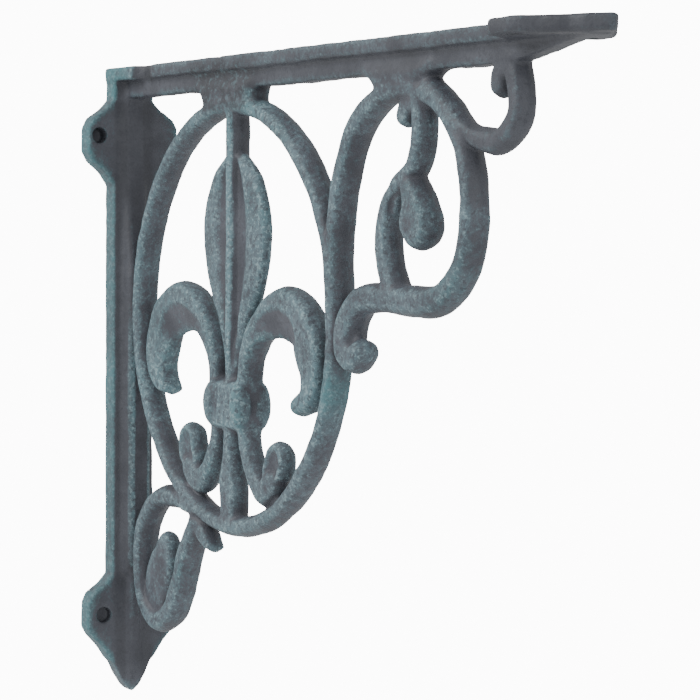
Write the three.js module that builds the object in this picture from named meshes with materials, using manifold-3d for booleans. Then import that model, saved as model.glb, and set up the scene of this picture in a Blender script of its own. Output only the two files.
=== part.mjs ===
// Cast iron shelf bracket: a wall plate and a shelf arm, both T-shaped, joined by scrollwork.
// Millimetres. X runs out from the wall, Y along the wall, Z up. The origin is on the
// back of the wall plate, halfway between the shelf face and the lower tip.
import * as THREE from "three";
import { mergeVertices } from "three/addons/utils/BufferGeometryUtils.js";
import Module from "manifold-3d";

// Driving dimensions
const projection = 250;
const height = 188;
const stripHalf = 6.7;
const wallThickness = 6.4;
const armThickness = 4;
const armHalf = 5.2;
const lugReach = 14.8;
const lugLength = 24;
const tipLength = 24;
const rootLength = 18.3;
const screwHole = 3.6;
const screwMouth = 4.8;
const mouthDepth = 1.6;
const screwSpread = 20;
const upperScrewSpread = 23;
const ribHalf = 2.8;
const wallRibHeight = 5.4;
const armRibHeight = 5.1;
const edgeRound = 0.9;
const barHalf = 3;
const barDepth = 3.8;
const ringRadius = 58.5;
const frontRadius = 25.7;
const holeSides = 14;
const ringSides = 54;
const stepsPerPoint = 3;

// Places worked out from them
const shelfZ = height / 2;
const ribBottomZ = shelfZ - armThickness - armRibHeight;
const wallRibX = wallThickness + wallRibHeight;
const crownZ = ribBottomZ - 4.4;
const ringX = wallRibX + barHalf + ringRadius - 0.4;
const ringZ = crownZ - ringRadius;
const fleurX = ringX + 0.7;
const frontX = ringX + ringRadius + 1.42 * frontRadius;
const frontZ = crownZ - frontRadius;
const upperLugZ = shelfZ - 21.6;
const lowerLugZ = -height / 2 + tipLength;
const frontLugX = projection - tipLength;

const wasm = await Module();
wasm.setup();

function solid(geometry) {
  const bare = geometry.clone();
  bare.deleteAttribute("normal");
  bare.deleteAttribute("uv");
  const merged = mergeVertices(bare, 1e-3);
  const corners = merged.index.array;
  const triVerts = [];
  for (let i = 0; i < corners.length; i += 3) {
    const [a, b, c] = corners.slice(i, i + 3);
    if (a !== b && b !== c && c !== a) triVerts.push(a, b, c);
  }
  return new wasm.Manifold(new wasm.Mesh({
    numProp: 3,
    vertProperties: Float32Array.from(merged.attributes.position.array),
    triVerts: Uint32Array.from(triVerts),
  }));
}

// Closed skin over a row of rings that all have the same number of points
function loft(rings) {
  const count = rings[0].length;
  const index = [];
  for (let level = 0; level < rings.length - 1; level++) {
    for (let k = 0; k < count; k++) {
      const a = level * count + k;
      const b = level * count + ((k + 1) % count);
      index.push(a, b, b + count, a, b + count, a + count);
    }
  }
  const last = (rings.length - 1) * count;
  for (let k = 1; k < count - 1; k++) {
    index.push(0, k + 1, k, last, last + k, last + k + 1);
  }
  const geometry = new THREE.BufferGeometry().setFromPoints(rings.flat());
  geometry.setIndex(index);
  return geometry;
}

// Bar section, as [across, deep] fractions: widest on the parting line, with a narrow flat crest.
// A rounded end is two smaller rings, as fractions of the half width beyond the last one.
const quarter = [[1, 0], [0.86, 0.55], [0.4, 1]];
const section = [
  ...quarter,
  ...quarter.toReversed().map(([across, deep]) => [-across, deep]).slice(0, 2),
  ...quarter.map(([across, deep]) => [-across, -deep]),
  ...quarter.toReversed().map(([across, deep]) => [across, -deep]).slice(0, 2),
];
const roundings = [0.6, 0.95];
const endThinning = 0.35;

// A cast bar along a curve in the middle plane; each point is [x, z, half width], and depth is
// a fraction of a plain bar's
function strand(points, { depth = 1, roundStart = false, roundEnd = false } = {}) {
  const spots = points.map((p) => new THREE.Vector3(...p));
  const curve = new THREE.CatmullRomCurve3(spots, false, "centripetal");
  const steps = stepsPerPoint * (points.length - 1);
  const ring = (t, ahead = 0, scale = 1) => {
    const spot = curve.getPoint(t);
    const along = curve.getTangent(t).setZ(0).normalize();
    const half = spot.z * scale;
    return section.map(([across, deep]) => new THREE.Vector3(
      spot.x + along.x * ahead * spot.z - along.y * across * half,
      -deep * depth * barDepth * (endThinning + (1 - endThinning) * scale),
      spot.y + along.y * ahead * spot.z + along.x * across * half,
    ));
  };
  const rings = [];
  if (roundStart) roundings.toReversed().forEach((s) => rings.push(ring(0, -s, Math.sqrt(1 - s * s))));
  for (let i = 0; i <= steps; i++) rings.push(ring(i / steps));
  if (roundEnd) roundings.forEach((s) => rings.push(ring(1, s, Math.sqrt(1 - s * s))));
  return solid(loft(rings));
}

// Points given in tenths of a radius from a centre, with half widths as multiples of a plain bar's
function around(centreX, centreZ, radius, points, side = 1) {
  return points.map(([x, z, half]) => [
    centreX + side * x * radius / 10, centreZ + z * radius / 10, half * barHalf,
  ]);
}

function box(x0, x1, y0, y1, z0, z1) {
  const geometry = new THREE.BoxGeometry(x1 - x0, y1 - y0, z1 - z0);
  return solid(geometry.translate((x0 + x1) / 2, (y0 + y1) / 2, (z0 + z1) / 2));
}

// Half outline of a screw lug, as [along the strip, out from its middle]
function lug(middle, stripFrom, stripTo) {
  const half = lugLength / 2;
  return [
    [middle - half, stripFrom],
    [middle - half * 0.78, stripFrom + 2.4],
    [middle - half * 0.54, lugReach - 1.5],
    [middle - half * 0.3, lugReach - 0.1],
    [middle + half * 0.3, lugReach],
    [middle + half * 0.54, lugReach - 1.6],
    [middle + half * 0.78, stripTo + 2.1],
    [middle + half, stripTo],
  ];
}

// Half outline of a rounded point at the end of a strip
function point(end) {
  return [
    [end - tipLength * 0.38, 6],
    [end - tipLength * 0.22, 4.4],
    [end - tipLength * 0.07, 1.9],
    [end, 0],
  ];
}

// Flat plate from a half outline mirrored about its middle line, with rounded edges
function plate(outline, thickness) {
  const shape = new THREE.Shape();
  const mirrored = outline.filter(([, out]) => out > 0).toReversed().map(([along, out]) => [along, -out]);
  shape.setFromPoints([...outline, ...mirrored].map(([along, out]) => new THREE.Vector2(along, out)));
  return new THREE.ExtrudeGeometry(shape, {
    depth: thickness - 2 * edgeRound,
    bevelEnabled: true,
    bevelSize: edgeRound,
    bevelOffset: -edgeRound,
    bevelThickness: edgeRound,
    bevelSegments: 2,
  }).translate(0, 0, edgeRound);
}

// Screw holes through a plate lying flat, on the sides named, each widening to its mouth at mouthZ
function screwHoles(middle, spread, mouthZ, inward, sides = [-1, 1]) {
  const past = 2;
  const profile = [
    [0, -past], [screwMouth / 2, -past], [screwMouth / 2, 0], [screwHole / 2, mouthDepth],
    [screwHole / 2, wallThickness + past], [0, wallThickness + past],
  ];
  return sides.map((side) => {
    const shape = profile.map(([radius, down]) => new THREE.Vector2(radius, down));
    const geometry = new THREE.LatheGeometry(shape, holeSides).rotateX(inward * Math.PI / 2);
    return solid(geometry.translate(middle, side * spread / 2, mouthZ));
  });
}

// Wall plate: drawn lying down with its length along X, then stood up against the wall. Only one
// of its upper lugs is drilled.
function wallPlate() {
  const down = (z) => shelfZ - z;
  const outline = [
    [1, stripHalf],
    ...lug(down(upperLugZ), stripHalf, stripHalf),
    ...lug(down(lowerLugZ), stripHalf, stripHalf + 0.8),
    ...point(height),
  ];
  let body = solid(plate(outline, wallThickness + edgeRound));
  const front = wallThickness + edgeRound;
  const holes = [
    ...screwHoles(down(upperLugZ + 1.4), upperScrewSpread, front, -1, [-1]),
    ...screwHoles(down(lowerLugZ), screwSpread, front, -1),
  ];
  for (const hole of holes) body = body.subtract(hole);
  const stood = body.rotate([0, 90, 0]).translate([-edgeRound, 0, shelfZ]);
  return stood.subtract(box(-10, 0, -50, 50, -height, height));
}

function armPlate() {
  const outline = [
    [0, stripHalf],
    [rootLength, stripHalf],
    [rootLength + 1.2, stripHalf - 0.8],
    [rootLength + 3.7, armHalf - 0.3],
    [rootLength + 7.2, armHalf - 0.4],
    [rootLength + 11.2, armHalf],
    ...lug(frontLugX, armHalf, stripHalf + 0.8),
    ...point(projection),
  ];
  let body = solid(plate(outline, armThickness));
  for (const hole of screwHoles(frontLugX, screwSpread, 0, 1)) body = body.subtract(hole);
  return body.translate([0, 0, shelfZ - armThickness]);
}

// Upright web or rib cut to an outline in the middle plane
function web(points, half, bevel = edgeRound) {
  const shape = new THREE.Shape(points.map(([x, z]) => new THREE.Vector2(x, z)));
  const geometry = new THREE.ExtrudeGeometry(shape, {
    depth: 2 * (half - bevel),
    bevelEnabled: true,
    bevelSize: bevel,
    bevelOffset: -bevel,
    bevelThickness: bevel,
    bevelSegments: 1,
  });
  return solid(geometry.translate(0, 0, bevel - half).rotateX(Math.PI / 2));
}

function ribs() {
  const inPlate = 2;
  const top = shelfZ - 1;
  const armRib = web([
    [inPlate, top],
    [inPlate, ribBottomZ],
    [frontLugX - 13, ribBottomZ],
    [projection - 6, shelfZ - armThickness],
    [projection - 8, top],
  ], ribHalf);
  const wallRib = web([
    [inPlate, top],
    [wallThickness + 0.8, top],
    [wallThickness + 0.8, upperLugZ + 2],
    [wallThickness + 2, upperLugZ - 17],
    [wallRibX, upperLugZ - 40],
    [wallRibX, lowerLugZ + 17],
    [wallThickness + 2.2, lowerLugZ + 12],
    [inPlate, lowerLugZ + 10],
  ], ribHalf);
  const spine = web([
    [inPlate, lowerLugZ + 14],
    [wallThickness + 1.9, lowerLugZ + 14],
    [wallThickness + 1.6, lowerLugZ],
    [wallThickness - 0.2, lowerLugZ - tipLength + 3],
    [inPlate, lowerLugZ - tipLength + 4],
  ], 1.5, 0.7);
  return [armRib, wallRib, spine];
}

function ringWebs() {
  const low = crownZ - 1.5;
  const high = ribBottomZ + 2;
  const overRing = web([
    [ringX - 18.5, high], [ringX - 15, low], [ringX + 13, low], [ringX + 17.5, high],
  ], ribHalf);
  const overFront = web([
    [frontX - 21, high], [frontX - 15, low], [frontX + 4, low], [frontX + 11, high],
  ], ribHalf);
  return [overRing, overFront];
}

function ring() {
  const profile = section.map(([across, deep]) => new THREE.Vector2(
    ringRadius + across * barHalf, deep * barDepth,
  ));
  profile.push(profile[0].clone());
  const geometry = new THREE.LatheGeometry(profile, ringSides);
  return solid(geometry.translate(ringX, 0, ringZ));
}

// Fleur-de-lis in the ring, drawn in tenths of the ring's radius
const inRing = (points, side) => around(ringX, ringZ, ringRadius, points, side);

function stem() {
  return strand(around(fleurX, ringZ, ringRadius, [
    [0, 10, 0.97], [0, 3, 0.9], [0, -3.8, 0.9],
  ]), { depth: 0.89 });
}

// Dished blade: thin beside the stem and at the edge, thicker near the rim
function leafBlade() {
  const outline = new THREE.SplineCurve([
    [0.5, -3.1], [0.85, -1.6], [1.4, -0.3], [2.2, 0.9], [2.8, 2.3],
    [3.1, 4], [2.85, 5.4], [1.9, 6.8], [0.6, 7.7],
  ].map(([half, z]) => new THREE.Vector2(half, z)));
  const profile = [[1, 0.4], [0.76, 0.53], [0.4, 0.32], [0.12, 0.42]];
  const levels = 12;
  const rings = [];
  for (let i = 0; i <= levels; i++) {
    const { x: half, y: z } = outline.getPoint(i / levels);
    const spot = (across, deep) => new THREE.Vector3(
      fleurX + across * half * ringRadius / 10, deep * barDepth, ringZ + z * ringRadius / 10,
    );
    rings.push([
      ...profile.map(([across, deep]) => spot(-across, -deep)),
      ...profile.toReversed().map(([across, deep]) => spot(across, -deep)),
      ...profile.map(([across, deep]) => spot(across, deep)),
      ...profile.toReversed().map(([across, deep]) => spot(-across, deep)),
    ]);
  }
  return solid(loft(rings));
}

function petal(side) {
  return strand(inRing([
    [1.4, -3.6, 1], [1.7, -1.8, 1.07], [3.1, -0.3, 1.67], [5.1, 0.3, 2.5], [6.9, -0.4, 2.53],
    [7.85, -2.1, 2.23], [7.6, -3.3, 1.47], [6.9, -3.85, 0.6],
  ], side), { depth: 0.92, roundEnd: true });
}

// Band round the three leaves, as [height, half width, half depth] down its length
function collar() {
  const profile = [
    [-2.95, 2.8, 1.16], [-3.2, 3.33, 1.37], [-3.8, 3.6, 1.47], [-4.2, 3.8, 1.55],
    [-4.8, 3.57, 1.47], [-5.2, 3.27, 1.37], [-5.45, 2.8, 1.18],
  ];
  const corners = [
    [1, 0], [0.9, 0.62], [0.55, 1], [-0.55, 1], [-0.9, 0.62],
    [-1, 0], [-0.9, -0.62], [-0.55, -1], [0.55, -1], [0.9, -0.62],
  ];
  const rings = profile.map(([z, half, deep]) => corners.map(([across, out]) => new THREE.Vector3(
    fleurX + across * half * barHalf, -out * deep * barDepth, ringZ + z * ringRadius / 10,
  )));
  return solid(loft(rings));
}

function lowerLeaf() {
  return strand(inRing([
    [0, -4.8, 0.93], [-0.1, -6.6, 1.13], [-0.1, -8.3, 1.7], [-0.1, -9.9, 1.4],
  ]), { depth: 0.82 });
}

function hook(side) {
  const arm = strand(inRing([
    [1.3, -4.9, 1], [1.6, -6.2, 1], [2.3, -7.4, 1.1], [3.3, -8, 1.23], [4.2, -7.5, 1.2],
  ], side), { depth: 0.82 });
  const curl = strand(inRing([[4.2, -7.1, 1.73], [4.4, -6.8, 1.9], [4.5, -6.4, 1.9]], side), {
    depth: 0.68, roundStart: true, roundEnd: true,
  });
  return arm.add(curl);
}

// Front loop: from the ring's side over the crown, round and back to a curled end
const inFront = (points, side) => around(frontX, frontZ, frontRadius, points, side);

function frontLoop() {
  return strand(inFront([
    [-14.4, -15.5, 1], [-14.5, -9.5, 1.07], [-14.3, -3.6, 1.1], [-13, 2.3, 1.17], [-10.2, 7, 1.17],
    [-5.5, 9.7, 1.1], [0, 10.1, 1.03], [5.1, 8.6, 1], [8.9, 4.6, 1], [10.4, -0.8, 1.03],
    [9.3, -6.2, 1.13], [5.2, -9.7, 1.3], [-0.5, -10.1, 1.33], [-6, -9.9, 1.3], [-9.8, -10.5, 1.33],
    [-12, -12.8, 1.5], [-12.2, -15.1, 1.47], [-10.8, -16.1, 1.37], [-9.7, -15.5, 1.17],
  ]), { roundEnd: true });
}

function frontCurls() {
  const curve = strand(inFront([
    [1.3, 10, 1.07], [1.6, 6.1, 1], [0.6, 3, 1], [-2.4, 0.8, 1.07],
    [-4.6, -2.3, 1.13], [-4.8, -5.6, 1.2], [-3.3, -9.2, 1.33],
  ]), { depth: 0.89 });
  const bulb = strand(inFront([[-0.6, 1.8, 0.93], [0.8, -0.7, 1.6], [1.1, -2.6, 2.2]]), {
    depth: 0.89, roundStart: true, roundEnd: true,
  });
  const lobe = strand(inFront([
    [0.8, 8.8, 0.87], [-0.9, 8.5, 1.07], [-1.4, 7.7, 1.1],
  ]), { depth: 0.74, roundEnd: true });
  return [curve, bulb, lobe];
}

function frontHook() {
  const bend = strand(inFront([
    [3, 10.3, 0.87], [6.2, 8.3, 0.9], [9.4, 5.9, 0.93], [12.3, 5, 1.03],
    [15.5, 5, 1.07], [17.8, 7, 1.07], [17.7, 10, 1.07], [16.7, 12.6, 1.07],
  ]), { depth: 0.82 });
  const lobe = strand(inFront([[16.4, 11.6, 1], [15.2, 10.8, 1.07], [15, 9.9, 1.07]]), {
    depth: 0.74, roundStart: true, roundEnd: true,
  });
  return [bend, lobe];
}

function lowerScroll() {
  const loop = strand(inRing([
    [-3.6, -9.6, 0.87], [-6, -9.2, 1.07], [-8, -9.5, 1.07], [-9.5, -10.9, 1.03], [-9.9, -12.9, 1.03],
    [-9.4, -14.7, 1.07], [-8, -15.6, 1.2], [-6.5, -15, 1.2], [-5.5, -13.5, 1.2], [-4.7, -11.8, 1.13],
    [-3.6, -10.2, 1.03],
  ]));
  const lobe = strand(inRing([
    [-8.4, -15, 1.67], [-8.3, -13.7, 2.13], [-7.7, -12.5, 1.9], [-7.3, -11.8, 1.5],
  ]), { depth: 0.58, roundEnd: true });
  const bud = strand(inRing([
    [-3.9, -10, 0.8], [-3.1, -10.8, 1.13], [-2.2, -10.9, 1.07], [-1.2, -10.4, 0.6],
  ]), { depth: 0.84, roundStart: true, roundEnd: true });
  return [loop, lobe, bud];
}

function casting() {
  const pieces = [
    wallPlate(), armPlate(), ...ribs(), ...ringWebs(), ring(),
    stem(), leafBlade(), petal(-1), petal(1), collar(), lowerLeaf(), hook(-1), hook(1),
    frontLoop(), ...frontCurls(), ...frontHook(), ...lowerScroll(),
  ];
  return pieces.reduce((whole, piece) => whole.add(piece));
}

function toGeometry(body) {
  const mesh = body.getMesh();
  const geometry = new THREE.BufferGeometry();
  geometry.setAttribute("position", new THREE.BufferAttribute(mesh.vertProperties, 3));
  geometry.setIndex(new THREE.BufferAttribute(mesh.triVerts, 1));
  return geometry;
}

const iron = new THREE.MeshStandardMaterial({ color: 0x5f676c, roughness: 0.75, metalness: 0.6 });
const bracket = new THREE.Mesh(toGeometry(casting()), iron);
bracket.name = "bracket_casting";

const part = new THREE.Group();
part.add(bracket);

export default part;
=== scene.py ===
import math
import bpy
import numpy as np
import openvdb
from mathutils import Matrix, Vector


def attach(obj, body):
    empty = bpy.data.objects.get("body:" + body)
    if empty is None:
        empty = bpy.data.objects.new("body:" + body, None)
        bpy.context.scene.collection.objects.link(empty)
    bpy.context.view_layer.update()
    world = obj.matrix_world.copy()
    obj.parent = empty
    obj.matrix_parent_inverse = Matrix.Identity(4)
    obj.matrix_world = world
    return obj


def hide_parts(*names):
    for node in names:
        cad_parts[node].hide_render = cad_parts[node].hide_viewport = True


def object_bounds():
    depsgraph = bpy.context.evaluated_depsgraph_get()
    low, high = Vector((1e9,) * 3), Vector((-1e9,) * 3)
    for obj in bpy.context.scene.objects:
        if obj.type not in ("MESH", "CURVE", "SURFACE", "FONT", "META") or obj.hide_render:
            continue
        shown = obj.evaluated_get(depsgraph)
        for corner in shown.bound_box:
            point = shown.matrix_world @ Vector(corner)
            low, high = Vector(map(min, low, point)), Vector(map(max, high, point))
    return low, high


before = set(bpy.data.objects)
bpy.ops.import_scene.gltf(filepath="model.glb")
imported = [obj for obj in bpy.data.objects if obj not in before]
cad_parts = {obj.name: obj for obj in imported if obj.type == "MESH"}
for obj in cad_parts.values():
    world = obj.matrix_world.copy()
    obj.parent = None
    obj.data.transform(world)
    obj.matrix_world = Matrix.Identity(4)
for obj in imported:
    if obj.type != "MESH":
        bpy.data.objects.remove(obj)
cad_low, cad_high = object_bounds()

# Bracket dimensions in millimetres: X out from the wall, Y along it, Z up
PROJECTION = 250
HEIGHT = 188
STRIP_HALF = 6.7
WALL_THICKNESS = 6.4
ARM_THICKNESS = 4
ARM_HALF = 5.2
LUG_REACH = 14.8
LUG_LENGTH = 24
TIP_LENGTH = 24
ROOT_LENGTH = 18.3
SCREW_MOUTH = 4.6
OPEN_DEPTH = 4.6
SCREW_SPREAD = 19.2
UPPER_SCREW_SPREAD = 22.4
UPPER_SCREW_RISE = 1.4
DIRT_DEPTH = 2
RIB_HALF = 2.8
WALL_RIB_HEIGHT = 5.4
ARM_RIB_HEIGHT = 5.1
BAR_HALF = 3
BAR_DEPTH = 3.8
RING_RADIUS = 58.5
FRONT_RADIUS = 25.7

SHELF_Z = HEIGHT / 2
UNDER_ARM_Z = SHELF_Z - ARM_THICKNESS
RIB_BOTTOM_Z = UNDER_ARM_Z - ARM_RIB_HEIGHT
WALL_RIB_X = WALL_THICKNESS + WALL_RIB_HEIGHT
CROWN_Z = RIB_BOTTOM_Z - 4.4
RING_X = WALL_RIB_X + BAR_HALF + RING_RADIUS - 0.4
RING_Z = CROWN_Z - RING_RADIUS
FLEUR_X = RING_X + 0.7
FRONT_X = RING_X + RING_RADIUS + 1.42 * FRONT_RADIUS
FRONT_Z = CROWN_Z - FRONT_RADIUS
UPPER_LUG_Z = SHELF_Z - 21.6
LOWER_LUG_Z = -HEIGHT / 2 + TIP_LENGTH
FRONT_LUG_X = PROJECTION - TIP_LENGTH

# The casting is sculpted as a field on a fine grid, positive inside the iron
VOXEL = 0.56
PAD = 3 * VOXEL
OUTER_ROOM = 2
FAR_OUTSIDE = -4.0
MOST_TRIANGLES = 190000
xs = np.arange(-PAD, PROJECTION + PAD, VOXEL, dtype=np.float32)
ys = np.arange(-LUG_REACH - PAD, LUG_REACH + PAD, VOXEL, dtype=np.float32)
zs = np.arange(-SHELF_Z - PAD, SHELF_Z + PAD, VOXEL, dtype=np.float32)
field = np.full((len(xs), len(ys), len(zs)), FAR_OUTSIDE, np.float32)
random = np.random.default_rng(seed=7)


def window(axis, low, high):
    """Slice of an axis that covers low to high."""
    first = max(0, int(np.searchsorted(axis, low)) - 1)
    return slice(first, min(len(axis), int(np.searchsorted(axis, high)) + 2))


def smooth_step(value, low, high):
    t = np.clip((value - low) / (high - low), 0, 1)
    return t * t * (3 - 2 * t)


def smooth_max(a, b, width):
    blend = np.clip(width - np.abs(a - b), 0, None)
    return np.maximum(a, b) + blend * blend / (4 * width)


def smooth_min(a, b, width):
    return -smooth_max(-a, -b, width)


def add(part, where, fillet=1.0):
    field[where] = smooth_max(field[where], part, fillet)


def remove(part, where, fillet=0.4):
    field[where] = smooth_min(field[where], -part, fillet)


# Curves
def catmull_rom(points, per_span=10):
    """Centripetal curve through rows of points, sampled evenly in each span."""
    p = np.array(points, float)
    p = np.vstack([2 * p[0] - p[1], p, 2 * p[-1] - p[-2]])
    samples = []
    for i in range(1, len(p) - 2):
        a, b, c, d = p[i - 1:i + 3]
        gap0, gap1, gap2 = [max(np.linalg.norm(v) ** 0.5, 1e-4) for v in (b - a, c - b, d - c)]
        start = ((b - a) / gap0 - (c - a) / (gap0 + gap1) + (c - b) / gap1) * gap1
        end = ((c - b) / gap1 - (d - b) / (gap1 + gap2) + (d - c) / gap2) * gap1
        for t in np.arange(per_span) / per_span:
            cubic = (2 * b - 2 * c + start + end) * t ** 3
            square = (-3 * b + 3 * c - 2 * start - end) * t ** 2
            samples.append(cubic + square + start * t + b)
    samples.append(p[-2])
    return np.array(samples)


def around(centre_x, centre_z, radius, points, side=1):
    """Points in tenths of a radius from a centre, with half widths as multiples of a plain bar's."""
    return [
        (centre_x + side * x * radius / 10, centre_z + z * radius / 10, half * BAR_HALF)
        for x, z, half in points
    ]


def in_ring(points, side=1):
    return around(RING_X, RING_Z, RING_RADIUS, points, side)


def in_front(points):
    return around(FRONT_X, FRONT_Z, FRONT_RADIUS, points)


def to_polyline(x, z, line):
    """Distance, signed side, place along (0 to 1) and half width at each spot of a plane grid."""
    nearest = np.full(x.shape, 1e9, np.float32)
    turn = np.zeros_like(nearest)
    along = np.zeros_like(nearest)
    half = np.zeros_like(nearest)
    count = len(line) - 1
    for i in range(count):
        (ax, az, aw), (bx, bz, bw) = line[i], line[i + 1]
        dx, dz = bx - ax, bz - az
        t = np.clip(((x - ax) * dx + (z - az) * dz) / (dx * dx + dz * dz), 0, 1)
        off_x, off_z = x - ax - t * dx, z - az - t * dz
        gap = np.hypot(off_x, off_z)
        near = gap < nearest
        nearest[near] = gap[near]
        turn[near] = np.sign(dx * off_z - dz * off_x)[near]
        along[near] = ((i + t) / count)[near]
        half[near] = (aw + t * (bw - aw))[near]
    return nearest, turn, along, half


def inside_polygon(x, z, outline):
    """Signed distance to a closed outline, positive inside."""
    nearest = np.full(x.shape, 1e9, np.float32)
    inside = np.zeros(x.shape, bool)
    for (ax, az), (bx, bz) in zip(outline, np.roll(outline, -1, axis=0)):
        dx, dz = bx - ax, bz - az
        t = np.clip(((x - ax) * dx + (z - az) * dz) / (dx * dx + dz * dz + 1e-9), 0, 1)
        nearest = np.minimum(nearest, np.hypot(x - ax - t * dx, z - az - t * dz))
        if az != bz:
            crosses = (az > z) != (bz > z)
            inside ^= crosses & (x < ax + dx * (z - az) / dz)
    return np.where(inside, nearest, -nearest)


# Relief: a thickness map over the middle plane, with a bevel and a steep drafted side
DRAFT_SLOPE = 5.0
BEVEL_SLOPE = 1.24
BEVEL_START = 0.41
CORNER = 0.9
FILLET_ROOM = 3
GROOVE_ROOM = 4


def relief(inset, height, where, fillet=1.0, bevel_start=BEVEL_START):
    """Adds iron where inset, the distance in from the outline, is positive. Height is the half depth."""
    y = np.abs(ys[where[1]])[None, :, None]
    slope_x, slope_z = np.gradient(height, VOXEL)
    steep = np.sqrt(1 + slope_x ** 2 + slope_z ** 2)[:, None, :]
    height = height[:, None, :]
    inset = inset[:, None, :]
    crest = (height - y) / steep
    bevel = (bevel_start * height + BEVEL_SLOPE * inset - y) / math.hypot(1, BEVEL_SLOPE)
    side = (DRAFT_SLOPE * inset - y) / math.hypot(1, DRAFT_SLOPE)
    add(smooth_min(smooth_min(crest, bevel, CORNER), side, CORNER), where, fillet)


def plane(low_x, high_x, low_z, high_z, deep=8.0):
    """Window of the field, with its X and Z as plane grids."""
    where = (window(xs, low_x, high_x), window(ys, -deep, deep), window(zs, low_z, high_z))
    x, z = np.meshgrid(xs[where[0]], zs[where[2]], indexing="ij")
    return where, x, z


def strand(points, depth=1.0, shape=None, fillet=1.0, bevel_start=BEVEL_START):
    """A cast bar. shape(along, across, height) may change its thickness map."""
    line = catmull_rom(points)
    reach = line[:, 2].max() + FILLET_ROOM
    low, high = line.min(axis=0) - reach, line.max(axis=0) + reach
    where, x, z = plane(low[0], high[0], low[1], high[1])
    gap, turn, along, half = to_polyline(x, z, line)
    height = np.full(x.shape, depth * BAR_DEPTH, np.float32)
    if shape:
        height = shape(along, turn * gap / half, height)
    relief(half - gap, height, where, fillet, bevel_start)


def groove(points, level, radius, fillet=0.5):
    """Cuts a round groove into both faces along a line, centred at the given half depth."""
    line = catmull_rom(points)
    low, high = line.min(axis=0) - GROOVE_ROOM, line.max(axis=0) + GROOVE_ROOM
    where, x, z = plane(low[0], high[0], low[1], high[1])
    gap, _, along, _ = to_polyline(x, z, line)
    taper = radius * (0.45 + 0.55 * np.sin(np.pi * np.clip(along, 0.02, 0.98)))
    y = np.abs(ys[where[1]])[None, :, None]
    remove((taper[:, None, :] - np.hypot(gap[:, None, :], y - level)).astype(np.float32), where, fillet)


# Plates with rounded edges; their outlines are (along, out) from the corner of wall and shelf
def lug(middle, strip_from, strip_to):
    """One side of a lug, between the half widths of the strip before and after it."""
    half = LUG_LENGTH / 2
    return [
        (middle - half, strip_from), (middle - half * 0.78, strip_from + 2.4),
        (middle - half * 0.54, LUG_REACH - 1.5), (middle - half * 0.3, LUG_REACH - 0.1),
        (middle + half * 0.3, LUG_REACH), (middle + half * 0.54, LUG_REACH - 1.6),
        (middle + half * 0.8, strip_to + 2.6), (middle + half * 1.12, strip_to),
    ]


def tip(end):
    """One side of a pointed end."""
    return [
        (end - TIP_LENGTH * 0.38, 6), (end - TIP_LENGTH * 0.22, 4.4),
        (end - TIP_LENGTH * 0.07, 1.9), (end, 0),
    ]


def mirrored(outline):
    """Closed outline from its points on one side."""
    return np.array(outline + [(along, -out) for along, out in reversed(outline) if out > 0])


def rounded_meet(a, b, radius):
    """Distance inside two surfaces at once, with the edge between them rounded."""
    corner = np.hypot(np.clip(radius - a, 0, None), np.clip(radius - b, 0, None))
    return np.where(np.minimum(a, b) < radius, radius - corner, np.minimum(a, b))


EDGE_ROUND = 1.1
BACK_ROUND = 0.9
PLATE_FILLET = 1.6


def plate(outline, thickness, upright):
    """Wall plate when upright, else shelf arm."""
    wide = window(ys, -LUG_REACH - 1.2, LUG_REACH + 1.2)
    if upright:
        upright_span = window(zs, -SHELF_Z - OUTER_ROOM, SHELF_Z + OUTER_ROOM)
        where = (window(xs, -OUTER_ROOM, thickness + FILLET_ROOM), wide, upright_span)
        y, z = np.meshgrid(ys[where[1]], zs[where[2]], indexing="ij")
        flat = inside_polygon(SHELF_Z - z, y, outline)[None, :, :]
        through = xs[where[0]][:, None, None]
    else:
        upright_span = window(zs, SHELF_Z - thickness - FILLET_ROOM, SHELF_Z + OUTER_ROOM)
        where = (window(xs, -OUTER_ROOM, PROJECTION + OUTER_ROOM), wide, upright_span)
        x, y = np.meshgrid(xs[where[0]], ys[where[1]], indexing="ij")
        flat = inside_polygon(x, y, outline)[:, :, None]
        through = SHELF_Z - zs[where[2]][None, None, :]
    front = rounded_meet(flat, thickness - through, EDGE_ROUND)
    back = rounded_meet(flat, through, BACK_ROUND)
    add(np.minimum(front, back), where, PLATE_FILLET)


def web(points, half, fillet=2.0, flank=0.0, edge=EDGE_ROUND):
    """Upright rib cut to an outline in the middle plane; flank widens it away from its crest."""
    outline = np.array(points, float)
    low, high = outline.min(axis=0) - FILLET_ROOM, outline.max(axis=0) + FILLET_ROOM
    where, x, z = plane(low[0], high[0], low[1], high[1])
    flat = inside_polygon(x, z, outline)
    half_here = half + flank * np.clip(flat, 0, 4)
    sides = half_here[:, None, :] - np.abs(ys[where[1]])[None, :, None]
    add(rounded_meet(flat[:, None, :], sides, edge), where, fillet)


wall_outline = mirrored(
    [(0, STRIP_HALF)]
    + lug(SHELF_Z - UPPER_LUG_Z, STRIP_HALF, STRIP_HALF)
    + lug(SHELF_Z - LOWER_LUG_Z, STRIP_HALF, STRIP_HALF + 0.8)
    + tip(HEIGHT)
)
arm_outline = mirrored(
    [
        (0, STRIP_HALF), (ROOT_LENGTH, STRIP_HALF), (ROOT_LENGTH + 1, STRIP_HALF - 1.6),
        (ROOT_LENGTH + 3, ARM_HALF - 1.5), (ROOT_LENGTH + 6.5, ARM_HALF - 1.2),
        (ROOT_LENGTH + 11.2, ARM_HALF),
    ]
    + lug(FRONT_LUG_X, ARM_HALF, STRIP_HALF + 0.8)
    + tip(PROJECTION)
)
plate(wall_outline, WALL_THICKNESS, upright=True)
plate(arm_outline, ARM_THICKNESS, upright=False)

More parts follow.
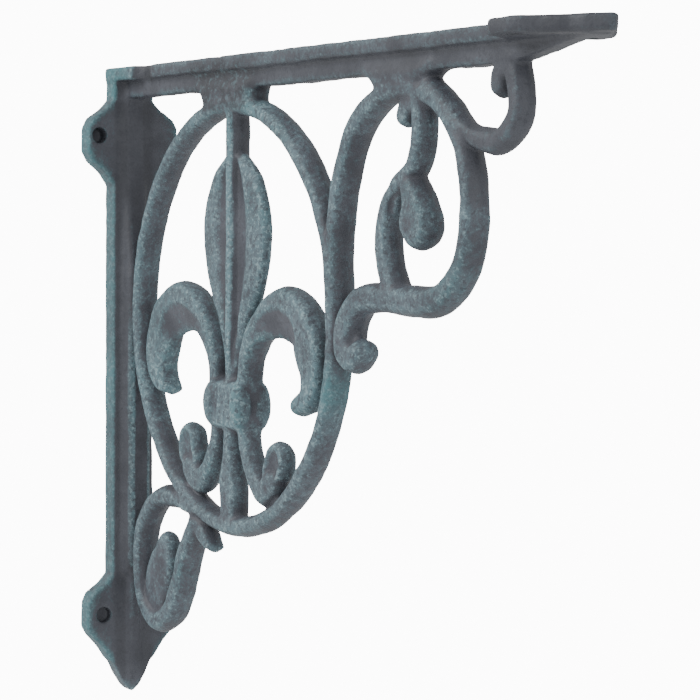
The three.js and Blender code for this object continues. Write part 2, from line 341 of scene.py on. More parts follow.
# Ribs of the arm, the wall plate and its pointed foot, all rooted inside the plates
RIB_TOP_Z = SHELF_Z - 1
IN_WALL_X = 2
WALL_RIB_HALF = RIB_HALF + 0.5
WALL_RIB_ROUND = 1.6
FOOT_RIB_HALF = 1.5
web([
    (IN_WALL_X, RIB_TOP_Z), (IN_WALL_X, RIB_BOTTOM_Z), (FRONT_LUG_X - 13, RIB_BOTTOM_Z),
    (PROJECTION - 6, UNDER_ARM_Z), (PROJECTION - 8, RIB_TOP_Z),
], RIB_HALF)
web([
    (IN_WALL_X, RIB_TOP_Z), (WALL_THICKNESS + 0.7, RIB_TOP_Z), (WALL_THICKNESS + 0.7, UPPER_LUG_Z + 2),
    (WALL_THICKNESS + 1, UPPER_LUG_Z - 8), (WALL_THICKNESS + 2, UPPER_LUG_Z - 17),
    (WALL_THICKNESS + 3.6, UPPER_LUG_Z - 28), (WALL_RIB_X, UPPER_LUG_Z - 40), (WALL_RIB_X, LOWER_LUG_Z + 17),
    (WALL_THICKNESS + 2.2, LOWER_LUG_Z + 12), (IN_WALL_X, LOWER_LUG_Z + 10),
], WALL_RIB_HALF, flank=0.2, edge=WALL_RIB_ROUND)
web([
    (IN_WALL_X, LOWER_LUG_Z + 14), (WALL_THICKNESS + 1.9, LOWER_LUG_Z + 14),
    (WALL_THICKNESS + 1.6, LOWER_LUG_Z), (WALL_THICKNESS - 0.2, LOWER_LUG_Z - TIP_LENGTH + 3),
    (IN_WALL_X, LOWER_LUG_Z - TIP_LENGTH + 4),
], FOOT_RIB_HALF)

# Webs that carry the ring and the front loop
WEB_FILLET = 3.6
WEB_ROUND = 3.2
WEB_TOP_Z = RIB_BOTTOM_Z + 2
for outline in (
    [
        (RING_X - 18.5, WEB_TOP_Z), (RING_X - 15, CROWN_Z - 1.5), (RING_X + 19.5, CROWN_Z - 3.2),
        (RING_X + 14.5, CROWN_Z + 0.8), (RING_X + 13.5, WEB_TOP_Z),
    ],
    [
        (FRONT_X - 21, WEB_TOP_Z), (FRONT_X - 15, CROWN_Z - 1.5), (FRONT_X + 3.5, CROWN_Z - 1.5),
        (FRONT_X + 11, WEB_TOP_Z),
    ],
):
    web(outline, BAR_DEPTH, fillet=WEB_FILLET, edge=WEB_ROUND)

# Ring
reach = RING_RADIUS + 8
where, x, z = plane(RING_X - reach, RING_X + reach, RING_Z - reach, RING_Z + reach)
ring_gap = np.abs(np.hypot(x - RING_X, z - RING_Z) - RING_RADIUS)
relief(BAR_HALF - ring_gap, np.full(x.shape, BAR_DEPTH, np.float32), where)

# Central leaf: a rib on a dished blade with a raised rim
BLADE_DEPTH = 1.0
RIM_RISE = 1.3
RIM_FALL = 0.6
leaf_half = catmull_rom([
    (0.5, -3.1), (0.85, -1.6), (1.4, -0.3), (2.2, 0.9), (2.8, 2.3),
    (3.1, 4), (2.85, 5.4), (1.9, 6.8), (0.6, 7.7),
])
leaf_side = leaf_half * RING_RADIUS / 10
leaf_outline = np.vstack([leaf_side, leaf_side[::-1] * (-1, 1)]) + (FLEUR_X, RING_Z)
where, x, z = plane(FLEUR_X - 22, FLEUR_X + 22, RING_Z - 22, RING_Z + 50)
width_here = np.interp(z, leaf_side[:, 1] + RING_Z, leaf_side[:, 0])
across = np.abs(x - FLEUR_X) / np.clip(width_here, 1, None)
to_rim = smooth_step(across, 0.3, 0.58)
past_rim = smooth_step(across, 0.66, 1.0)
leaf_inset = inside_polygon(x, z, leaf_outline) + 0.6
relief(leaf_inset, BLADE_DEPTH + RIM_RISE * to_rim - RIM_FALL * past_rim, where)
leaf_rib = around(FLEUR_X, RING_Z, RING_RADIUS, [(0, 10, 0.97), (0, 3, 0.9), (0, -3.8, 0.9)])
strand(leaf_rib, depth=0.89, fillet=0.8)


# Side petals: the stem's crest swings to the outer edge and widens into a band over a smooth slope
def petal_arch(along):
    """Share of the petal's arched stretch in each place along it."""
    return smooth_step(along, 0.16, 0.4) * (1 - smooth_step(along, 0.52, 0.66))


def band_edge(along):
    """Where the outer band begins, in half widths out from the petal's middle line."""
    return 0.2 * smooth_step(along, 0.1, 0.3) - 0.5 * smooth_step(along, 0.48, 0.66)


def petal_height(side):
    """Thickness map of the petal on one side: a band outside, a slope down to a thin inner edge."""
    def shape(along, across, height):
        out = across * side
        inner = band_edge(along)
        slope = np.clip((out + 1.0) / (inner + 1.0), 0, 1) ** 1.4
        ridge = 0.3 * petal_arch(along) * np.exp(-((out - inner - 0.08) / 0.14) ** 2)
        thin_edge = 0.9 + 1.6 * smooth_step(along, 0.5, 0.66)
        sloped = smooth_step(along, 0.16, 0.4) * (1 - smooth_step(along, 0.9, 1.0))
        return height * (1 - sloped) + sloped * (thin_edge + (height - thin_edge) * slope + ridge)
    return shape


PETAL = [
    (1.4, -3.6, 1), (1.7, -1.8, 1.07), (3.1, -0.3, 1.67), (5.1, 0.3, 2.5),
    (6.9, -0.4, 2.53), (7.85, -2.1, 2.23), (7.6, -3.3, 1.47),
]
PETAL_TIP = {-1: (6.9, -3.85, 0.6), 1: (6.65, -3.85, 0.98)}
petal_lines = {side: in_ring(PETAL + [PETAL_TIP[side]], side) for side in (-1, 1)}
for side, line in petal_lines.items():
    strand(line, depth=0.95, shape=petal_height(side), bevel_start=0.5)

# Collar: a flat band with a flange at each rim, and rolls standing out at its four corners
COLLAR_DEPTH = 4.4
ROLL_RADIUS = 3.1
ROLL_HALF_HEIGHT = 6.6
ROLL_X = 8.1
ROLL_Y = 3.1
ROLL_Z = -24.4
collar = np.array([
    (-2.95, 2.8), (-3.2, 3.1), (-3.8, 3.2), (-4.2, 3.3), (-4.8, 3.2), (-5.2, 3.1), (-5.45, 2.8),
])[::-1] * (RING_RADIUS / 10, BAR_HALF)
where, x, z = plane(FLEUR_X - 16, FLEUR_X + 16, RING_Z - 36, RING_Z - 12, deep=10)
level_z = z - RING_Z
half = np.interp(level_z, collar[:, 0], collar[:, 1])
in_band = np.minimum(level_z - collar[0, 0], collar[-1, 0] - level_z)
collar_inset = np.minimum(half - np.abs(x - FLEUR_X), in_band + 0.4)
flange = 0.5 * np.exp(-((in_band - 1.3) / 0.55) ** 2)
ripple = 0.12 * np.sin(x * 2.6)
relief(collar_inset, COLLAR_DEPTH + flange + ripple, where)
y = np.abs(ys[where[1]])[None, :, None]
off_x = (np.abs(x - FLEUR_X) - ROLL_X) / ROLL_RADIUS
off_z = (level_z - ROLL_Z) / ROLL_HALF_HEIGHT
from_roll = np.sqrt((off_x ** 2 + off_z ** 2)[:, None, :] + ((y - ROLL_Y) / ROLL_RADIUS) ** 2)
add((ROLL_RADIUS * (1 - from_roll)).astype(np.float32), where, fillet=0.5)

# Lower leaf
strand(in_ring([(0, -4.8, 0.93), (-0.1, -6.6, 1.13), (-0.1, -8.3, 1.7), (-0.1, -9.6, 1.5)]), depth=0.82)


# Curled feet: an arm that ends in a dished disc
def scooped(depth_of_scoop):
    """Thickness map with a hollow along the middle line."""
    def shape(along, across, height):
        return height - depth_of_scoop * (1 - smooth_step(np.abs(across), 0.2, 0.72))
    return shape


for side in (-1, 1):
    strand(in_ring([
        (1.3, -4.9, 1), (1.6, -6.2, 1), (2.3, -7.4, 1.1), (3.3, -8.1, 1.4), (4.2, -7.6, 1.4),
    ], side), depth=0.82)
    disc = in_ring([(4.2, -7.1, 1.73), (4.4, -6.8, 1.9), (4.5, -6.4 - 0.14 * side, 1.85)], side)
    strand(disc, depth=0.74, shape=scooped(1.1), fillet=0.5)

# Front loop
strand(in_front([
    (-14.4, -15.5, 1), (-14.5, -9.5, 1.07), (-14.3, -3.6, 1.1), (-13, 2.3, 1.17), (-10.2, 7, 1.17),
    (-5.5, 9.7, 1.1), (0, 10.1, 1.03), (5.1, 8.6, 1), (8.9, 4.6, 1), (10.4, -0.8, 1.03),
    (9.3, -6.2, 1.13), (5.2, -9.7, 1.3), (-0.5, -10.1, 1.33), (-6, -9.9, 1.3), (-9.8, -10.5, 1.33),
    (-12, -12.8, 1.5), (-12.2, -15.1, 1.47), (-10.8, -16.1, 1.37), (-9.7, -15.5, 1.17),
]))
strand(in_front([
    (1.3, 10, 1.07), (1.6, 6.1, 1), (0.6, 3, 1), (-2.4, 0.8, 1.07),
    (-4.6, -2.3, 1.13), (-4.8, -5.6, 1.2), (-3.3, -9.2, 1.33),
]), depth=0.89)
strand(in_front([(-0.6, 1.8, 0.93), (0.8, -0.7, 1.6), (1.15, -2.5, 2.25), (1.3, -2.9, 2.1)]), fillet=0.5)
strand(in_front([(0.8, 8.8, 0.87), (-0.9, 8.5, 1.07), (-1.4, 7.7, 1.1)]), depth=0.74)
beside_bulb = [(-1.6, 0.4, 1), (-2.9, -1.1, 1), (-2.6, -2.6, 1), (-1.7, -4.4, 1)]
groove(in_front(beside_bulb), level=3.2, radius=1.5)
groove(in_front([(1.5, 1.9, 1), (2.4, 1.1, 1)]), level=3.4, radius=1.4)

# Front hook
strand(in_front([
    (3, 10.3, 0.87), (6.2, 8.3, 0.9), (9.4, 5.9, 0.93), (12.3, 5, 1.03),
    (14.2, 4.75, 1.1), (15.7, 5.1, 1.07), (17.8, 7, 1.07), (17.7, 10, 1.07), (16.7, 12.6, 1.07),
]), depth=0.82)
strand(in_front([(16.4, 11.6, 1), (15.2, 10.8, 1.07), (15, 9.9, 1.07)]), depth=0.74)

# Lower scroll with its lobe and bud
strand(in_ring([
    (-3.6, -9.6, 0.87), (-6, -9.2, 1.07), (-8, -9.5, 1.07), (-9.5, -10.9, 1.03), (-9.9, -12.9, 1.03),
    (-9.4, -14.7, 1.07), (-8, -15.6, 1.2), (-6.5, -15, 1.2), (-5.5, -13.5, 1.2), (-4.7, -11.8, 1.13),
    (-3.6, -10.2, 1.03),
]))
lobe = [(-8.2, -15, 1.8), (-7.95, -13.7, 2.65), (-7.35, -12.5, 2.3), (-7.15, -11.8, 1.6)]
strand(in_ring(lobe), depth=0.62, fillet=0.5)
bud = [(-3.7, -9.9, 0.8), (-3.15, -10.4, 1.1), (-2.6, -10.9, 0.97), (-2.05, -11.3, 0.5)]
strand(in_ring(bud), depth=0.84)
groove(in_ring([(-6.2, -12.2, 1), (-6.5, -13.3, 1), (-7, -14.5, 1)]), level=2.6, radius=0.7)
groove(in_ring([(-8.9, -11.6, 1), (-9.2, -13, 1), (-9, -14.3, 1)]), level=3.4, radius=0.8)

# Thin fins of iron in crevices too narrow for the sand, each between two places in X and Z
FIN_HALF = 1.2
FIN_DEPTH = 0.35
for low_end, high_end in (
    ((33, -62.6), (33.8, -61)), ((46.5, -27.2), (47.5, -26.4)), ((97.5, -27.6), (99.2, -26.6)),
    ((78.4, 5), (78.4, 11.4)), ((140.2, 17.5), (141, 18.5)),
):
    strand([(*low_end, FIN_HALF), (*high_end, FIN_HALF)], depth=FIN_DEPTH)


# Lumps left by the sand mould
def lumps(spacing, height):
    """Smooth random bumps over the whole grid, with the given spacing."""
    span = [int(math.ceil(axis[-1] - axis[0]) / spacing) + 3 for axis in (xs, ys, zs)]
    values = random.normal(0, height, span).astype(np.float32)
    for step, axis in enumerate((xs, ys, zs)):
        place = (axis - axis[0]) / spacing
        low = place.astype(int)
        share = place - low
        share = share * share * (3 - 2 * share)
        share = share.reshape([-1 if k == step else 1 for k in range(3)])
        values = np.take(values, low, step) * (1 - share) + np.take(values, low + 1, step) * share
    return values


for spacing, height in ((6.0, 0.10), (2.4, 0.05), (1.3, 0.025)):
    field += lumps(spacing, height)


# Screw holes, choked at the back with old paint and dirt
HOLE_ROOM = 4


def screw_hole(where, out, deep):
    """out is the distance from the hole's middle line, deep the distance in from its mouth."""
    remove(np.minimum(SCREW_MOUTH / 2 - out, OPEN_DEPTH - deep), where)


def hole_window(axis, middle):
    return window(axis, middle - HOLE_ROOM, middle + HOLE_ROOM)


wall_holes = [
    (-UPPER_SCREW_SPREAD / 2, UPPER_LUG_Z + UPPER_SCREW_RISE, 0),
    (-SCREW_SPREAD / 2, LOWER_LUG_Z, DIRT_DEPTH),
    (SCREW_SPREAD / 2, LOWER_LUG_Z, DIRT_DEPTH),
]
for hole_y, hole_z, dirt in wall_holes:
    where = (window(xs, -OUTER_ROOM, 10), hole_window(ys, hole_y), hole_window(zs, hole_z))
    y, z = np.meshgrid(ys[where[1]], zs[where[2]], indexing="ij")
    deep = dirt + (WALL_THICKNESS - xs[where[0]])[:, None, None]
    screw_hole(where, np.hypot(y - hole_y, z - hole_z)[None, :, :], deep)
for hole_y in (-SCREW_SPREAD / 2, SCREW_SPREAD / 2):
    under_lug = window(zs, SHELF_Z - 9, SHELF_Z + OUTER_ROOM)
    where = (hole_window(xs, FRONT_LUG_X), hole_window(ys, hole_y), under_lug)
    x, y = np.meshgrid(xs[where[0]], ys[where[1]], indexing="ij")
    deep = DIRT_DEPTH + (zs[where[2]] - SHELF_Z + ARM_THICKNESS)[None, None, :]
    screw_hole(where, np.hypot(x - FRONT_LUG_X, y - hole_y)[:, :, None], deep)

# Flat back and flat shelf face, and nothing outside the bracket's own limits
field = np.minimum(field, xs[:, None, None])
field = np.minimum(field, (PROJECTION - xs)[:, None, None])
field = np.minimum(field, (SHELF_Z - np.abs(zs))[None, None, :])
field = np.minimum(field, (LUG_REACH - np.abs(ys))[None, :, None])


# How exposed each spot is: iron around an edge is thin, iron in a corner is thick
def box_blur(values, radius):
    """Mean over a cube that reaches the given radius each way."""
    size = max(1, int(round(radius / VOXEL)))
    for axis in range(3):
        pad = [(size + 1, size) if k == axis else (0, 0) for k in range(3)]
        total = np.cumsum(np.pad(values, pad, mode="edge"), axis=axis, dtype=np.float32)
        top = np.take(total, range(2 * size + 1, total.shape[axis]), axis)
        bottom = np.take(total, range(0, total.shape[axis] - 2 * size - 1), axis)
        values = (top - bottom) / (2 * size + 1)
    return values


# Blurred twice each, for a soft falloff: the near share finds edges, the wide one broad forms
iron = np.clip(field / VOXEL + 0.5, 0, 1)
share_near = box_blur(box_blur(iron, 1.0), 0.8)
share_wide = box_blur(box_blur(iron, 2.6), 1.8)

# Skin of the field
grid = openvdb.FloatGrid()
grid.background = -FAR_OUTSIDE
grid.copyFromArray(-field)
points, _, quads = grid.convertToPolygons(isovalue=0.0, adaptivity=0.0)


def sample(values, spots):
    """Trilinear reading of a grid at points given in grid steps."""
    low = np.clip(spots.astype(int), 0, np.array(values.shape) - 2)
    share = spots - low
    total = np.zeros(len(spots), np.float32)
    for corner in np.ndindex(2, 2, 2):
        weight = np.prod(np.where(corner, share, 1 - share), axis=1)
        total += weight * values[tuple((low + corner).T)]
    return total


edge_wear = 0.5 - sample(share_near, points)
broad_wear = 0.5 - sample(share_wide, points)
spots = points * VOXEL + (xs[0], ys[0], zs[0])


# Soft-edged stretches, which say where on the casting a tone lies
def above(value, low, soft):
    return smooth_step(value, low - soft, low + soft)


def below(value, high, soft):
    return 1 - above(value, high, soft)


def near(value, low, high, soft):
    return above(value, low, soft) * below(value, high, soft)


# How far out the hook and the outer side of the front loop begin
HOOK_X = 194
LOOP_SIDE_X = 172

px, py, pz = spots.T
out_y = np.abs(py)
on_arm = above(pz, RIB_BOTTOM_Z - 0.4, 1)
under_arm = below(pz, RIB_BOTTOM_Z - 0.9, 1)

# Pure verdigris: on the wall plate's edges, the arm's root, a few spots and the arm's lower arris
wall_side = below(px, WALL_THICKNESS + 0.9, 0.7) * smooth_step(out_y, 4.8, 6.4)
root = on_arm * below(px, ROOT_LENGTH - 1.8, 3.4) * smooth_step(out_y, 5, 6.4)
patches = sum(
    strength * np.exp(-((px - x) / size) ** 2 - ((pz - z) / size) ** 2)
    for x, z, size, strength in (
        (RING_X + 60.1, RING_Z - 18, 7, 1.3),
        (RING_X - 38, RING_Z - 5, 9, 0.45),
        (RING_X - 26.5, RING_Z - 35, 3, 0.7),
        (RING_X - 57, RING_Z + 10, 24, 0.3),
    )
)
arm_arris = near(px, HOOK_X + 1, FRONT_LUG_X - 1, 6) * near(pz, UNDER_ARM_Z - 1.5, UNDER_ARM_Z + 1, 0.8)
verdigris = wall_side + root + patches + 0.35 * arm_arris

# Tones of the fleur-de-lis
petal_tone = np.zeros_like(px)
for side, line in petal_lines.items():
    gap, turn, along, half = to_polyline(px, pz, catmull_rom(line))
    out = turn * gap / np.maximum(half, 0.1) * side
    arch = petal_arch(along)
    on_slope = 1 - smooth_step(out - band_edge(along), -0.3, 0.1)
    tone = 0.35 * smooth_step(along, 0.55, 0.7) + 0.2 * arch - 0.55 * arch * on_slope
    petal_tone += tone * (gap < half + 0.2)
leaf_across = np.abs(px - FLEUR_X) / np.interp(pz - RING_Z, leaf_side[:, 1], leaf_side[:, 0])
in_leaf = near(pz, RING_Z - 14, RING_Z + 42, 2)
leaf_hollow = in_leaf * near(leaf_across, 0.16, 0.42, 0.05)
leaf_rim = in_leaf * near(leaf_across, 0.5, 1.2, 0.1)
stem_crest = below(np.abs(px - FLEUR_X), 1.7, 0.5) * near(pz, RING_Z - 15, CROWN_Z - 4, 2)
# Painted shade on the stem's side, as on the leaf rib's side below
stem_shade = near(px, FLEUR_X + 1.9, FLEUR_X + 4, 0.5) * near(pz, RING_Z + 36, CROWN_Z - 3, 2)
rib_shade = near(px, FLEUR_X + 1.8, FLEUR_X + 4.6, 0.5) * near(pz, RING_Z - 12, RING_Z + 44, 2)
on_collar = near(pz, RING_Z - 32, RING_Z - 16, 1.5)
collar_roll = on_collar * near(px, FLEUR_X + 4.6, FLEUR_X + 9, 1)
on_fleur = near(px, FLEUR_X - 18.6, FLEUR_X + 18.4, 8) * near(pz, RING_Z - 52, RING_Z + 48, 8)

# Tones of the wall plate and its rib, with painted shade on the plate's front under the arm and on the rib's
# flanks
wall_front_shade = near(px, WALL_THICKNESS - 1.4, WALL_RIB_X + 1.2, 1) * under_arm
flank = near(px, WALL_THICKNESS - 0.4, WALL_RIB_X - 0.3, 0.6) * near(out_y, 2.6, 6, 0.4) * under_arm
rib_arris = near(px, WALL_RIB_X - 1.7, WALL_RIB_X + 2, 0.5) * near(out_y, 2, 3.8, 0.4)
rib_arris *= near(pz, LOWER_LUG_Z + 4, RING_Z + 2, 8)
hole_rim = near(px, WALL_THICKNESS - 3.4, WALL_THICKNESS + 1.6, 1) * sum(
    below(np.hypot(py - hole_y, pz - hole_z), SCREW_MOUTH / 2 + 1.3, 0.5)
    for hole_y, hole_z, _ in wall_holes
)

# Tones of the arm, its rib and the webs, with painted shade in the recess beside the arm's root
arm_rib = near(px, WALL_RIB_X - 3.8, ROOT_LENGTH + 0.7, 1.5) * (1 - smooth_step(out_y, 3.2, 4.5))
arm_rib *= near(pz, RIB_BOTTOM_Z - 2.9, UNDER_ARM_Z - 1, 1)
recess_shade = on_arm * near(px, ROOT_LENGTH + 1.7, ROOT_LENGTH + 8.7, 2) * smooth_step(out_y, 2.4, 3.6)
arm_bare = on_arm * above(px, ROOT_LENGTH + 0.7, 2)
arm_start = on_arm * near(px, ROOT_LENGTH + 0.7, ROOT_LENGTH + 9.7, 2)
arm_middle = on_arm * near(px, ROOT_LENGTH + 5.7, FRONT_LUG_X - 11, 4)
arm_end = on_arm * above(px, FRONT_LUG_X - 11, 5)
front_end = above(px, FRONT_LUG_X - 8, 5) * above(pz, RIB_BOTTOM_Z - 0.9, 1)
crown = near(px, RING_X - 16, RING_X + 10, 3) * near(pz, CROWN_Z - 1, UNDER_ARM_Z + 1, 1.5)
scratched = near(px, RING_X - 20, RING_X + 14, 5) * near(pz, CROWN_Z - 1, UNDER_ARM_Z + 2.4, 1.4)
web_end = near(px, RING_X + 10, RING_X + 22, 4) * near(pz, CROWN_Z - 5, RIB_BOTTOM_Z - 0.2, 0.8)

# Tones of the hook, and painted shade on the front loop's outer side
hook = above(px, HOOK_X, 5) * near(pz, FRONT_Z - 2.8, RIB_BOTTOM_Z - 0.9, 2)
hook_top = above(px, HOOK_X - 2, 8) * near(pz, FRONT_Z + 5.2, UNDER_ARM_Z - 2, 2)
loop_side_shade = above(px, LOOP_SIDE_X, 8) * near(pz, FRONT_Z - 64.8, FRONT_Z + 5.2, 4)

# Where the patina is stronger or weaker than the wear alone makes it; weaker on the wall's front, the rib
# flanks and the sides of stem and leaf rib as painted shade
zone = (
    0.35 * verdigris
    + petal_tone
    - 0.5 * flank
    + 0.6 * web_end
    - 0.3 * crown
    - 0.42 * arm_rib
    + 0.6 * stem_crest
    - 0.5 * stem_shade
    - 0.3 * rib_shade
    + 0.2 * on_collar
    + 0.6 * collar_roll
    - 0.3 * hook
    - 0.35 * arm_end
    + 0.95 * rib_arris
    - 0.45 * leaf_hollow
    + 0.15 * leaf_rim
    - 0.42 * arm_bare
    - 0.6 * arm_start
    - 0.25 * hook_top
    - 0.6 * hole_rim
    - 0.25 * wall_front_shade
    + 0.12 * on_fleur
)

# Painted shade: darkening in corners, except at the web's bright end, and over the places that lie in shade
corner_shade = np.clip(-2.2 * broad_wear - 0.12, 0, 0.5) * (1 - web_end)
painted_shade = (
    corner_shade
    + 0.7 * recess_shade
    + 0.3 * flank
    + 0.2 * arm_middle
    + 0.4 * front_end
    + 0.28 * hook
    + 0.25 * scratched
    + 0.35 * stem_shade
    + 0.15 * rib_shade
    + 0.12 * loop_side_shade
    + 0.12 * wall_front_shade
)

# Casting
mesh = bpy.data.meshes.new("bracket_cast")
mesh.from_pydata((spots / 1000).tolist(), [], quads.tolist())
# Attributes for the material; one of them carries the painted shade
attributes = {
    "edge_wear": edge_wear, "broad_wear": broad_wear, "zone": zone,
    "verdigris": verdigris, "painted_shade": painted_shade, "scratched": scratched,
}
for name, values in attributes.items():
    layer = mesh.attributes.new(name, "FLOAT", "POINT")
    layer.data.foreach_set("value", values.astype(np.float32))
casting = bpy.data.objects.new("bracket_cast", mesh)
bpy.context.collection.objects.link(casting)

share_kept = MOST_TRIANGLES / (2 * len(quads))
if share_kept < 1:
    thin = casting.modifiers.new("thin", "DECIMATE")
    thin.ratio = share_kept
    bpy.context.view_layer.update()
    thinned = casting.evaluated_get(bpy.context.evaluated_depsgraph_get())
    kept = bpy.data.meshes.new_from_object(thinned)
    casting.modifiers.clear()
    casting.data = kept

# Thinning may put a corner a hair outside the CAD box, so each is held to it
corners = np.empty(3 * len(casting.data.vertices), np.float32)
casting.data.vertices.foreach_get("co", corners)
corners = np.clip(corners.reshape(-1, 3), cad_low, cad_high)
casting.data.vertices.foreach_set("co", corners.ravel())
for face in casting.data.polygons:
    face.use_smooth = True
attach(casting, "root")
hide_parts("bracket_casting")

# Iron with a worn blue-green patina
DARK_IRON = (0.035, 0.038, 0.048)
GREY_IRON = (0.064, 0.069, 0.084)
# Near-black for scratches and for the painted shade
SHADE_AND_SCRATCH_DARK = (0.018, 0.020, 0.025)
GREY_PATINA = (0.092, 0.157, 0.182)
VERDIGRIS = (0.055, 0.142, 0.160)
PALE_FLECK = (0.215, 0.300, 0.320)
material = bpy.data.materials.new("patinated_iron")
material.use_nodes = True
nodes = material.node_tree.nodes
links = material.node_tree.links
shader = nodes["Principled BSDF"]


def node(kind, **settings):
    made = nodes.new(kind)
    for name, value in settings.items():
        setattr(made, name, value)
    return made


def noise(scale, detail, roughness):
    made = node("ShaderNodeTexNoise")
    made.inputs["Scale"].default_value = scale
    made.inputs["Detail"].default_value = detail
    made.inputs["Roughness"].default_value = roughness
    links.new(coordinates.outputs["Object"], made.inputs["Vector"])
    return made.outputs["Fac"]


def spread(value, low, high, out_low=0.0, out_high=1.0):
    """Value from low to high, spread over out_low to out_high."""
    made = node("ShaderNodeMapRange", clamp=True)
    links.new(value, made.inputs["Value"])
    for name, amount in (("From Min", low), ("From Max", high), ("To Min", out_low), ("To Max", out_high)):
        made.inputs[name].default_value = amount
    return made.outputs["Result"]


def combine(operation, a, b):
    made = node("ShaderNodeMath", operation=operation)
    for socket, value in zip(made.inputs, (a, b)):
        if isinstance(value, (int, float)):
            socket.default_value = value
        else:
            links.new(value, socket)
    return made.outputs["Value"]


def weighted_sum(*terms):
    """Sum of values, each given with its weight."""
    total = 0
    for value, weight in terms:
        total = combine("ADD", total, combine("MULTIPLY", value, weight))
    return total


def mix(share, first, second):
    made = node("ShaderNodeMix", data_type="RGBA")
    links.new(share, made.inputs["Factor"])
    for socket, value in ((made.inputs["A"], first), (made.inputs["B"], second)):
        if isinstance(value, tuple):
            socket.default_value = (*value, 1)
        else:
            links.new(value, socket)
    return made.outputs["Result"]


def attribute(name):
    made = node("ShaderNodeAttribute", attribute_name=name)
    return made.outputs["Fac"]


coordinates = node("ShaderNodeTexCoord")
geometry = node("ShaderNodeNewGeometry")
split = node("ShaderNodeSeparateXYZ")
links.new(geometry.outputs["Normal"], split.inputs["Vector"])

speckle = noise(1900, detail=2, roughness=0.6)
fleck = noise(950, detail=3, roughness=0.7)
grain = noise(700, detail=4, roughness=0.6)
pit = noise(620, detail=3, roughness=0.65)
scuff = noise(540, detail=4, roughness=0.75)
scratch = noise(430, detail=4, roughness=0.75)
cloud = noise(75, detail=5, roughness=0.6)
stain = noise(34, detail=3, roughness=0.5)

face = combine("ABSOLUTE", split.outputs["Y"], 0)
# Patina amount, lowered in places by the painted shade in the zone attribute
patina_and_shade = weighted_sum(
    (attribute("edge_wear"), 3.5),
    (attribute("broad_wear"), 0.9),
    (face, 0.45),
    (attribute("zone"), 1),
    (spread(cloud, 0.3, 0.7), 0.45),
    (spread(grain, 0.3, 0.7), 0.55),
    (spread(speckle, 0.3, 0.7), 0.3),
)
patina_share = spread(patina_and_shade, 0.9, 2.1)
rough_patina = spread(attribute("verdigris"), 0, 1, 0.7, 0.3)
flecks = combine("MULTIPLY", spread(fleck, 0.5, 0.62), spread(patina_and_shade, 1.15, 1.8))
pits = spread(pit, 0.38, 0.46, 0.95, 0.0)
scratches = spread(scratch, 0.48, 0.54, 0.0, 0.7)
scuffs = spread(scuff, 0.52, 0.62, 0.0, 0.4)

bare = mix(spread(cloud, 0.35, 0.65), DARK_IRON, GREY_IRON)
stained = combine("MAXIMUM", attribute("verdigris"), spread(stain, 0.5, 0.72))
colour = mix(patina_share, bare, mix(stained, GREY_PATINA, VERDIGRIS))
for share, tint in (
    (combine("MULTIPLY", flecks, rough_patina), PALE_FLECK),
    (combine("MULTIPLY", pits, rough_patina), DARK_IRON),
    # painted shade, mixed in as near-black
    (attribute("painted_shade"), SHADE_AND_SCRATCH_DARK),
    (combine("MULTIPLY", scratches, attribute("scratched")), SHADE_AND_SCRATCH_DARK),
    (combine("MULTIPLY", scuffs, attribute("scratched")), GREY_PATINA),
):
    colour = mix(share, colour, tint)
links.new(colour, shader.inputs["Base Color"])
links.new(spread(patina_share, 0, 1, 0.58, 0.78), shader.inputs["Roughness"])
shader.inputs["Metallic"].default_value = 0.0
shader.inputs["Specular IOR Level"].default_value = 0.4

bump = node("ShaderNodeBump")
bump.inputs["Strength"].default_value = 0.6
bump.inputs["Distance"].default_value = 0.0004
links.new(weighted_sum((grain, 0.7), (speckle, 0.3)), bump.inputs["Height"])
links.new(bump.outputs["Normal"], shader.inputs["Normal"])
casting.data.materials.clear()
casting.data.materials.append(material)

# Floor
FLOOR_Z = -0.45
FLOOR_HALF = 1.2
FLOOR_GREY = 0.93
floor_mesh = bpy.data.meshes.new("floor")
floor_mesh.from_pydata(
    [(sx * FLOOR_HALF, sy * FLOOR_HALF, FLOOR_Z) for sx, sy in ((-1, -1), (1, -1), (1, 1), (-1, 1))],
    [], [(0, 1, 2, 3)],
)
floor = bpy.data.objects.new("floor", floor_mesh)
bpy.context.collection.objects.link(floor)
floor_material = bpy.data.materials.new("floor_paint")
floor_material.use_nodes = True
floor_shader = floor_material.node_tree.nodes["Principled BSDF"]
floor_shader.inputs["Base Color"].default_value = (FLOOR_GREY, FLOOR_GREY, FLOOR_GREY, 1)
floor_shader.inputs["Roughness"].default_value = 0.9
floor_mesh.materials.append(floor_material)

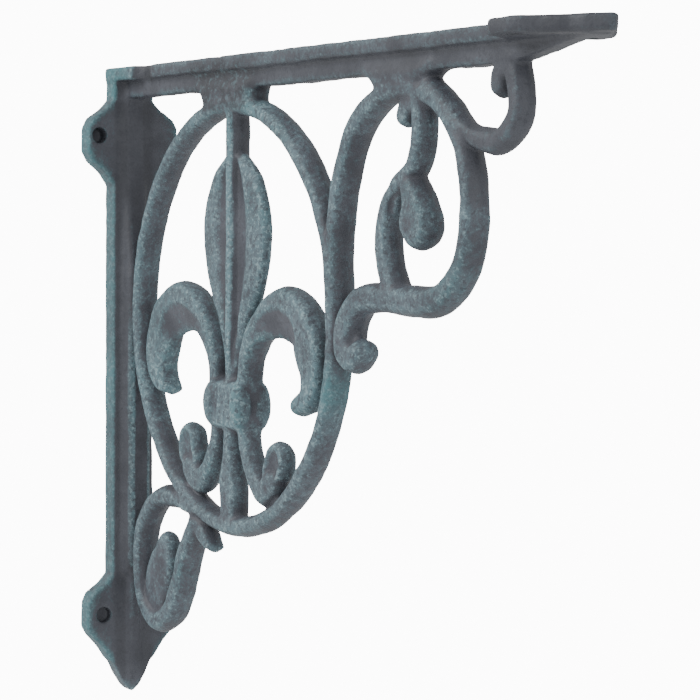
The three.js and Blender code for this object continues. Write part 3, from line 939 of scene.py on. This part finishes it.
# Camera solved from the photograph
CAMERA_PLACE = (0.699617, -0.326798, 0.047196)
AZIMUTH = math.radians(59.886)
ELEVATION = math.radians(-2.79)
ROLL = math.radians(0.363)
FOCAL_PIXELS = 2539.5
FRAME_PIXELS = 700
SENSOR = 36.0
forward = Vector((
    -math.sin(AZIMUTH) * math.cos(ELEVATION), math.cos(AZIMUTH) * math.cos(ELEVATION), math.sin(ELEVATION),
))
right = Vector((math.cos(AZIMUTH), math.sin(AZIMUTH), 0))
up = right.cross(forward)
rolled_right = right * math.cos(ROLL) + up * math.sin(ROLL)
rolled_up = up * math.cos(ROLL) - right * math.sin(ROLL)
camera_data = bpy.data.cameras.new("camera")
camera_data.sensor_width = SENSOR
camera_data.lens = FOCAL_PIXELS / FRAME_PIXELS * SENSOR
camera = bpy.data.objects.new("camera", camera_data)
facing = Matrix((rolled_right, rolled_up, -forward)).transposed()
camera.matrix_world = Matrix.Translation(CAMERA_PLACE) @ facing.to_4x4()
bpy.context.collection.objects.link(camera)
bpy.context.scene.camera = camera


# Lights
BRACKET_MIDDLE = Vector((0.12, 0, 0))


def area_light(name, towards, distance, size, power):
    """Square soft light, in the given direction from the bracket's middle and shining on it."""
    data = bpy.data.lights.new(name, "AREA")
    data.size = size
    data.energy = power
    light = bpy.data.objects.new(name, data)
    direction = Vector(towards).normalized()
    light.location = BRACKET_MIDDLE + direction * distance
    light.rotation_euler = direction.to_track_quat("Z", "Y").to_euler()
    bpy.context.collection.objects.link(light)


area_light("key", (-0.35, -1.0, 0.75), distance=1.6, size=0.9, power=24)
area_light("fill", (1.0, -0.1, 0.25), distance=2.0, size=1.2, power=14)

# White surroundings, far brighter as the backdrop that the camera sees than as a light
SKY_LIGHT = 0.88
SKY_SEEN = 12.0
world = bpy.data.worlds.new("studio")
world.use_nodes = True
sky = world.node_tree.nodes["Background"]
sky.inputs["Color"].default_value = (1, 1, 1, 1)
ray = world.node_tree.nodes.new("ShaderNodeLightPath")
brightness = world.node_tree.nodes.new("ShaderNodeMapRange")
brightness.inputs["To Min"].default_value = SKY_LIGHT
brightness.inputs["To Max"].default_value = SKY_SEEN
world.node_tree.links.new(ray.outputs["Is Camera Ray"], brightness.inputs["Value"])
world.node_tree.links.new(brightness.outputs["Result"], sky.inputs["Strength"])
bpy.context.scene.world = world
